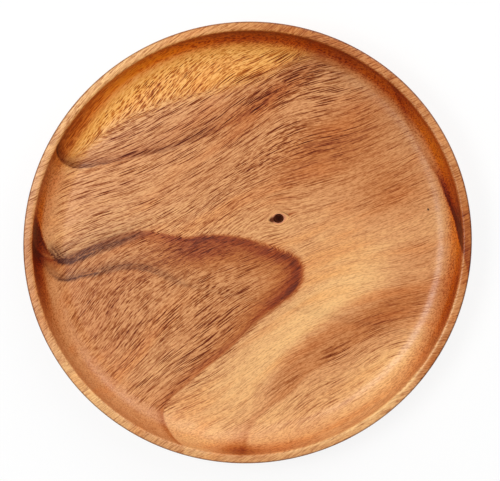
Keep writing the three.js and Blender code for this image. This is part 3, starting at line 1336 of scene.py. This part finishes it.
@dataclass(frozen=True)
class Plate:
    """The turned plate: floor, cove, wall, rim and relieved foot in one piece of wood."""

    along_grain: float = 254.0
    across_grain: float = 249.0
    height: float = 25.0
    rim_width: float = 5.2
    rim_inner_round: float = 1.6
    rim_outer_round: float = 1.2
    inside_lean: float = 9.0
    cove_radius: float = 16.0
    floor_height: float = 8.5
    outside_lean: float = 13.0
    heel_radius: float = 9.0
    foot_width: float = 12.0
    recess_depth: float = 1.2
    knot_margin: float = 1.5
    # painted shade: the way to the side of the plate whose inner wall faces away from the lamps
    shaded_side: Point = (0.71, 0.7)
    # painted shadow: the wall darkens towards the rim, which shades it
    under_rim_shadow_tone: float = 0.16
    sharp_degrees: float = 60.0
    around: int = 440
    knot: Knot = field(default_factory=Knot)
    figure: Figure = field(default_factory=Figure)

    @staticmethod
    def straight(start: Point, end: Point, steps: int) -> list[Point]:
        """Divide a straight stretch of the section into steps, and leave out its end."""
        shares = [step / steps for step in range(steps)]
        return [(start[0] + (end[0] - start[0]) * t, start[1] + (end[1] - start[1]) * t) for t in shares]

    @staticmethod
    def rounded(before: Point, corner: Point, after: Point, radius: float, steps: int) -> list[Point]:
        """Round a corner of the section by an arc tangent to both of its sides.

        Args:
            before: A point on the first side.
            corner: The sharp corner.
            after: A point on the second side.
            radius: Radius of the arc.
            steps: Number of pieces.

        Returns:
            Points of the arc.
        """
        tip = Vector(corner)
        to_before = (Vector(before) - tip).normalized()
        to_after = (Vector(after) - tip).normalized()
        half = to_before.angle(to_after) / 2
        centre = tip + (to_before + to_after).normalized() * (radius / math.sin(half))
        start = tip + to_before * (radius / math.tan(half)) - centre
        cross = to_before.x * to_after.y - to_before.y * to_after.x
        turn = math.copysign(math.pi - 2 * half, cross)
        points = []
        for step in range(steps + 1):
            angle = -turn * step / steps
            x = start.x * math.cos(angle) - start.y * math.sin(angle)
            y = start.x * math.sin(angle) + start.y * math.cos(angle)
            points.append((centre.x + x, centre.y + y))
        return points

    def section(self) -> list[Point]:
        """Draw half of the section, from the middle of the underside to the middle of the floor.

        Returns:
            Radius and height of each row of the mesh.
        """
        radius = self.along_grain / 2
        lean = math.radians(self.outside_lean)
        trim = self.rim_outer_round * ((1 + math.sin(lean)) / math.cos(lean) - 1)
        rim_outer = (radius + trim, self.height)
        heel = (rim_outer[0] - self.height * math.tan(lean), 0.0)
        rim_inner = (radius - self.rim_width, self.height)
        well = self.height - self.floor_height
        corner = (rim_inner[0] - well * math.tan(math.radians(self.inside_lean)), self.floor_height)
        heel_arc = self.rounded((0.0, 0.0), heel, rim_outer, self.heel_radius, 14)
        outer_arc = self.rounded(heel, rim_outer, rim_inner, self.rim_outer_round, 8)
        inner_arc = self.rounded(rim_outer, rim_inner, corner, self.rim_inner_round, 9)
        cove = self.rounded(rim_inner, corner, (0.0, self.floor_height), self.cove_radius, 26)
        foot = (heel_arc[0][0] - self.foot_width, 0.0)
        recess = (foot[0] - self.recess_depth, self.recess_depth)
        knot_reach = self.knot.lens_length / 2 + self.knot_margin
        knot_far = math.hypot(self.knot.along, self.knot.across) + knot_reach
        knot_near = knot_far - 2 * knot_reach
        rows = self.straight((0.0, self.recess_depth), recess, 30)
        rows += self.straight(recess, foot, 3)
        rows += self.straight(foot, heel_arc[0], 4)
        rows += heel_arc
        rows += self.straight(heel_arc[-1], outer_arc[0], 8)[1:]
        rows += outer_arc
        rows += self.straight(outer_arc[-1], inner_arc[0], 4)[1:]
        rows += inner_arc
        rows += self.straight(inner_arc[-1], cove[0], 5)[1:]
        rows += cove
        rows += self.straight(cove[-1], (knot_far, self.floor_height), 56)[1:]
        rows += self.straight((knot_far, self.floor_height), (knot_near, self.floor_height), 22)
        rows += self.straight((knot_near, self.floor_height), (0.0, self.floor_height), 8)
        return rows + [(0.0, self.floor_height)]

    def turned(self) -> bpy.types.Object:
        """Turn the section into the plate, slightly narrower across the grain.

        Returns:
            The plate without its pocket.
        """
        rows = self.section()
        turn = np.linspace(0, 2 * math.pi, self.around, endpoint=False)
        oval = self.across_grain / self.along_grain
        places = [np.array([[0.0, 0.0, rows[0][1]]])]
        for radius, height in rows[1:-1]:
            ring = np.stack([radius * np.cos(turn), radius * oval * np.sin(turn)], axis=1)
            places.append(np.hstack([ring, np.full((self.around, 1), height)]))
        places.append(np.array([[0.0, 0.0, rows[-1][1]]]))
        rings = len(rows) - 2
        last = 1 + rings * self.around
        top = last - self.around
        faces = ring_faces(rings, self.around, 1)
        for step in range(self.around):
            beside = (step + 1) % self.around
            faces.append((0, 1 + beside, 1 + step))
            faces.append((top + step, top + beside, last))
        return new_object("turned_plate", np.vstack(places), faces, self.sharp_degrees)

    def cut_pocket(self, plate: bpy.types.Object) -> None:
        """Cut the knot's pocket into the floor.

        Args:
            plate: The turned plate.
        """
        cutter = self.knot.cutter(self.height)
        cut = plate.modifiers.new("pocket", "BOOLEAN")
        cut.operation = "DIFFERENCE"
        cut.solver = "EXACT"
        cut.object = cutter
        depsgraph = bpy.context.evaluated_depsgraph_get()
        whole = plate.data
        plate.data = bpy.data.meshes.new_from_object(plate.evaluated_get(depsgraph))
        plate.modifiers.clear()
        bpy.data.meshes.remove(whole)
        bpy.data.objects.remove(cutter)
        plate.data.shade_smooth()
        plate.data.set_sharp_from_angle(angle=math.radians(self.sharp_degrees))

    def wall_shade_share(self, places: np.ndarray, radius: np.ndarray) -> np.ndarray:
        """Tell how much painted shade the wall takes: most where it faces away from the lamps, and in
        patches.

        Args:
            places: Places in millimetres.
            radius: Distance of each place from the middle.

        Returns:
            0 off the wall, and up to 1 on it.
        """
        rise = places[:, 2] - self.floor_height
        rim_inside = self.along_grain / 2 - self.rim_width
        inside = 1.0 - smooth_ramp(radius, rim_inside - 0.6, rim_inside + 0.5)
        shade_facing = places[:, :2] @ np.array(self.shaded_side) / np.maximum(radius, 1.0)
        # painted shade: the wall is darkened and warmed most where it faces away from the lamps, in place
        # of shade and of warm light bounced round the well
        shade_side = 0.1 + 0.9 * smooth_ramp(shade_facing, -0.7, 0.7)
        # glow gives no light: its patches spread the painted wall shade further down the wall
        glow = np.minimum(spread_all(self.figure.wall_shade_patches, places), 1.0)
        return inside * np.maximum(
            shade_side * smooth_ramp(rise, 0.4, 5.2),
            glow * smooth_ramp(rise, 3.0, 8.0),
        )

    def mark_turning(self, plate: bpy.types.Object) -> None:
        """Store how much painted shade the inner wall takes, where the rim, steep wood and the pin hole
        are, and how the edges are toned, with painted shade on the outer edge and a painted highlight on
        the inner edge.

        Args:
            plate: The plate.
        """
        places = places_of(plate)
        x, y, z = places.T
        rim_outside = self.along_grain / 2
        rim_inside = rim_outside - self.rim_width
        radius = np.hypot(x, y * self.along_grain / self.across_grain)
        # wall holds the painted shade of the inner wall
        wall = self.wall_shade_share(places, radius)
        rim = smooth_ramp(z, self.height - 1.4, self.height - 0.3)
        normals = np.zeros(places.size)
        plate.data.vertices.foreach_get("normal", normals)
        tilt = np.linalg.norm(normals.reshape(-1, 3)[:, :2], axis=1)
        steep = smooth_ramp(tilt, 0.22, 0.58) * (1.0 - rim)
        store_vectors(plate, "turning", np.stack([wall, rim, steep], axis=1))

        high = smooth_ramp(z, self.height - 3.0, self.height - 1.5)
        # painted shade along the rim's outer edge
        outer_edge = high * smooth_ramp(radius, rim_outside - 1.1, rim_outside - 0.3)
        inner_edge = np.exp(-(((radius - rim_inside - 0.8) / 0.9) ** 2))
        # painted highlight along the rim's inner edge
        inner_edge_highlight = inner_edge * self.figure.rim_painted_highlight.spread(places)
        rim_tone = rim * (spread_all(self.figure.rim_tones, places) + inner_edge_highlight)
        rise = z - self.floor_height
        # painted shadow under the rim, and painted shade on the wall, lighter or darker by place
        under_rim_shadow = self.under_rim_shadow_tone * smooth_ramp(rise, 7.0, 13.0)
        wall_shade_tone = wall * (spread_all(self.figure.wall_shade_tones, places) + under_rim_shadow)
        hole_x, hole_y = self.figure.pin_hole
        hole = np.hypot(x - hole_x, y - hole_y) + np.where(rise < -1.0, self.height, 0.0)
        # edges: painted shade on the outer edge, rim and wall tones with painted highlight and painted
        # shade, and the distance to the pin hole
        store_vectors(plate, "edges", np.stack([outer_edge, rim_tone + wall_shade_tone, hole], axis=1))

    def build(self) -> bpy.types.Object:
        """Make the plate and dress it in its wood.

        Returns:
            The finished plate.
        """
        plate = self.turned()
        self.cut_pocket(plate)
        self.figure.dress(plate, self.floor_height, (self.knot.along, self.knot.across))
        self.mark_turning(plate)
        plate.data.materials.clear()
        plate.data.materials.append(OiledWood().build(self.figure))
        return plate


@dataclass(frozen=True)
class Lamp:
    """A soft rectangular studio light, placed round the plate as the picture shows it."""

    name: str
    bearing: float
    from_overhead: float
    distance: float
    width: float
    length: float
    level: float


@dataclass(frozen=True)
class Studio:
    """Floor, lights and camera.

    The camera looks straight at the middle of the rim, moved right and up by a few pixels.
    """

    picture_turn: float = 25.6
    lean: float = 6.0
    lean_bearing: float = 60.0
    distance: float = 1400.0
    mm_per_pixel: float = 0.5628
    picture_width: float = 500.0
    look_right: float = 3.62
    look_up: float = 3.94
    rim_height: float = 25.0
    sensor: float = 36.0
    far_end: float = 50000.0
    floor_half: float = 12000.0
    floor_gap: float = 0.05
    floor_white: float = 0.92
    floor_glow: float = 0.85
    ambient: float = 0.26
    lamps: tuple[Lamp, ...] = (
        Lamp("window_right", 60.0, 48.0, 1300.0, 1300.0, 1300.0, 0.35),
        Lamp("window_left", 110.0, 38.0, 1300.0, 1600.0, 1600.0, 0.11),
        Lamp("window_low", 215.0, 32.0, 1300.0, 420.0, 420.0, 0.07),
        Lamp("window_far", 48.0, 56.0, 1300.0, 420.0, 420.0, 0.05),
        Lamp("strip_left", 168.0, 25.0, 1300.0, 520.0, 520.0, 0.4),
    )

    def picture_axes(self) -> tuple[Vector, Vector]:
        """Give the picture's right and up directions on the floor.

        Returns:
            The two directions.
        """
        turn = math.radians(self.picture_turn)
        right = Vector((math.cos(turn), -math.sin(turn), 0.0))
        return right, Vector((math.sin(turn), math.cos(turn), 0.0))

    def towards(self, bearing: float, from_overhead: float) -> Vector:
        """Give a direction up from the plate.

        Args:
            bearing: Degrees from the picture's right towards its top.
            from_overhead: Degrees away from straight up.

        Returns:
            The direction.
        """
        right, up = self.picture_axes()
        flat = right * math.cos(math.radians(bearing)) + up * math.sin(math.radians(bearing))
        tilt = math.radians(from_overhead)
        return flat * math.sin(tilt) + Vector((0.0, 0.0, 1.0)) * math.cos(tilt)

    def set_camera(self) -> None:
        """Place the camera at the photograph's viewing angle."""
        _, up = self.picture_axes()
        back = self.towards(self.lean_bearing, self.lean)
        right = up.cross(back).normalized()
        top = back.cross(right)
        aim = Vector((0.0, 0.0, self.rim_height))
        aim += (right * self.look_right + top * self.look_up) * self.mm_per_pixel
        data = bpy.data.cameras.new("camera")
        data.sensor_width = self.sensor
        data.lens = self.sensor * self.distance / (self.picture_width * self.mm_per_pixel)
        data.clip_end = self.far_end * MM
        camera = bpy.data.objects.new("camera", data)
        spin = Matrix((right, top, back)).transposed().to_4x4()
        camera.matrix_world = Matrix.Translation((aim + back * self.distance) * MM) @ spin
        bpy.context.scene.collection.objects.link(camera)
        bpy.context.scene.camera = camera

    def add_lamp(self, lamp: Lamp) -> None:
        """Hang one soft light, aimed at the middle of the plate.

        Args:
            lamp: The light's place, size and level.
        """
        direction = self.towards(lamp.bearing, lamp.from_overhead)
        data = bpy.data.lights.new(lamp.name, "AREA")
        data.shape = "RECTANGLE"
        data.size = lamp.width * MM
        data.size_y = lamp.length * MM
        facing = math.cos(math.radians(lamp.from_overhead))
        data.energy = lamp.level * math.pi**2 * (lamp.distance * MM) ** 2 / facing
        light = bpy.data.objects.new(lamp.name, data)
        light.location = direction * lamp.distance * MM
        light.rotation_mode = "QUATERNION"
        light.rotation_quaternion = direction.to_track_quat("Z", "Y")
        bpy.context.scene.collection.objects.link(light)

    @staticmethod
    def seen(board: Board) -> Wire:
        """Tell apart what the camera, a gloss or a glass sees from what lights the plate.

        Args:
            board: The board to add the nodes to.

        Returns:
            1 for a ray that shows the background, else 0.
        """
        camera = board.make("ShaderNodeLightPath", None, None, "Is Camera Ray")
        outputs = camera.socket.node.outputs
        glossy = Wire(board, outputs["Is Glossy Ray"])
        passing = Wire(board, outputs["Is Transmission Ray"])
        return camera.at_least(glossy).at_least(passing)

    def set_world(self) -> None:
        """Light the plate evenly from all round."""
        world = bpy.data.worlds.new("studio")
        bpy.context.scene.world = world
        world.use_nodes = True
        board = Board(world.node_tree)
        sockets = {"Color": (1.0, 1.0, 1.0, 1.0), "Strength": self.ambient}
        background = board.make("ShaderNodeBackground", None, sockets)
        board.make("ShaderNodeOutputWorld", None, {"Surface": background})

    def add_floor(self) -> bpy.types.Object:
        """Lay the pale floor, which keeps the plate's shadow.

        Returns:
            The floor.
        """
        half, low, white = self.floor_half, -self.floor_gap, self.floor_white
        corners = np.array([[-half, -half, low], [half, -half, low], [half, half, low], [-half, half, low]])
        floor = new_object("floor", corners, [(0, 1, 2, 3)])
        material, board = new_material("pale_floor")
        paper = board.make("ShaderNodeBsdfDiffuse", None, {"Color": (white, white, white, 1.0)})
        glow = board.make("ShaderNodeEmission", None, {"Color": (1.0, 1.0, 1.0, 1.0), "Strength": 1.0})
        share = self.seen(board) * self.floor_glow
        surface = board.make("ShaderNodeMixShader", None, {0: share, 1: paper, 2: glow})
        board.make("ShaderNodeOutputMaterial", None, {"Surface": surface})
        floor.data.materials.append(material)
        return floor

    def build(self) -> None:
        """Set up the floor, the lights, the world and the camera."""
        bpy.context.scene.view_settings.view_transform = "Standard"
        self.add_floor()
        self.set_world()
        for lamp in self.lamps:
            self.add_lamp(lamp)
        self.set_camera()


def hand_over(obj: bpy.types.Object, node: str) -> None:
    """Let a finished piece stand for its CAD node.

    Args:
        obj: The piece.
        node: The CAD node that it replaces.
    """
    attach(obj, "root")
    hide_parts(node)
    LOG.info("%s stands for %s: %d faces", obj.name, node, len(obj.data.polygons))


def main() -> None:
    """Build the plate, its knot and the studio."""
    logging.basicConfig(level=logging.INFO, format="%(name)s: %(message)s")
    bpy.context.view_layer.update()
    plate = Plate()
    hand_over(plate.build(), "plate_body")
    collar = plate.knot.collar(plate.floor_height)
    collar.data.materials.append(KnotCallus().build())
    hand_over(collar, "knot_collar")
    heart = plate.knot.heart(plate.floor_height)
    heart.data.materials.append(DeadKnot().build())
    hand_over(heart, "knot_heart")
    Studio().build()


if __name__ == "__main__":
    main()
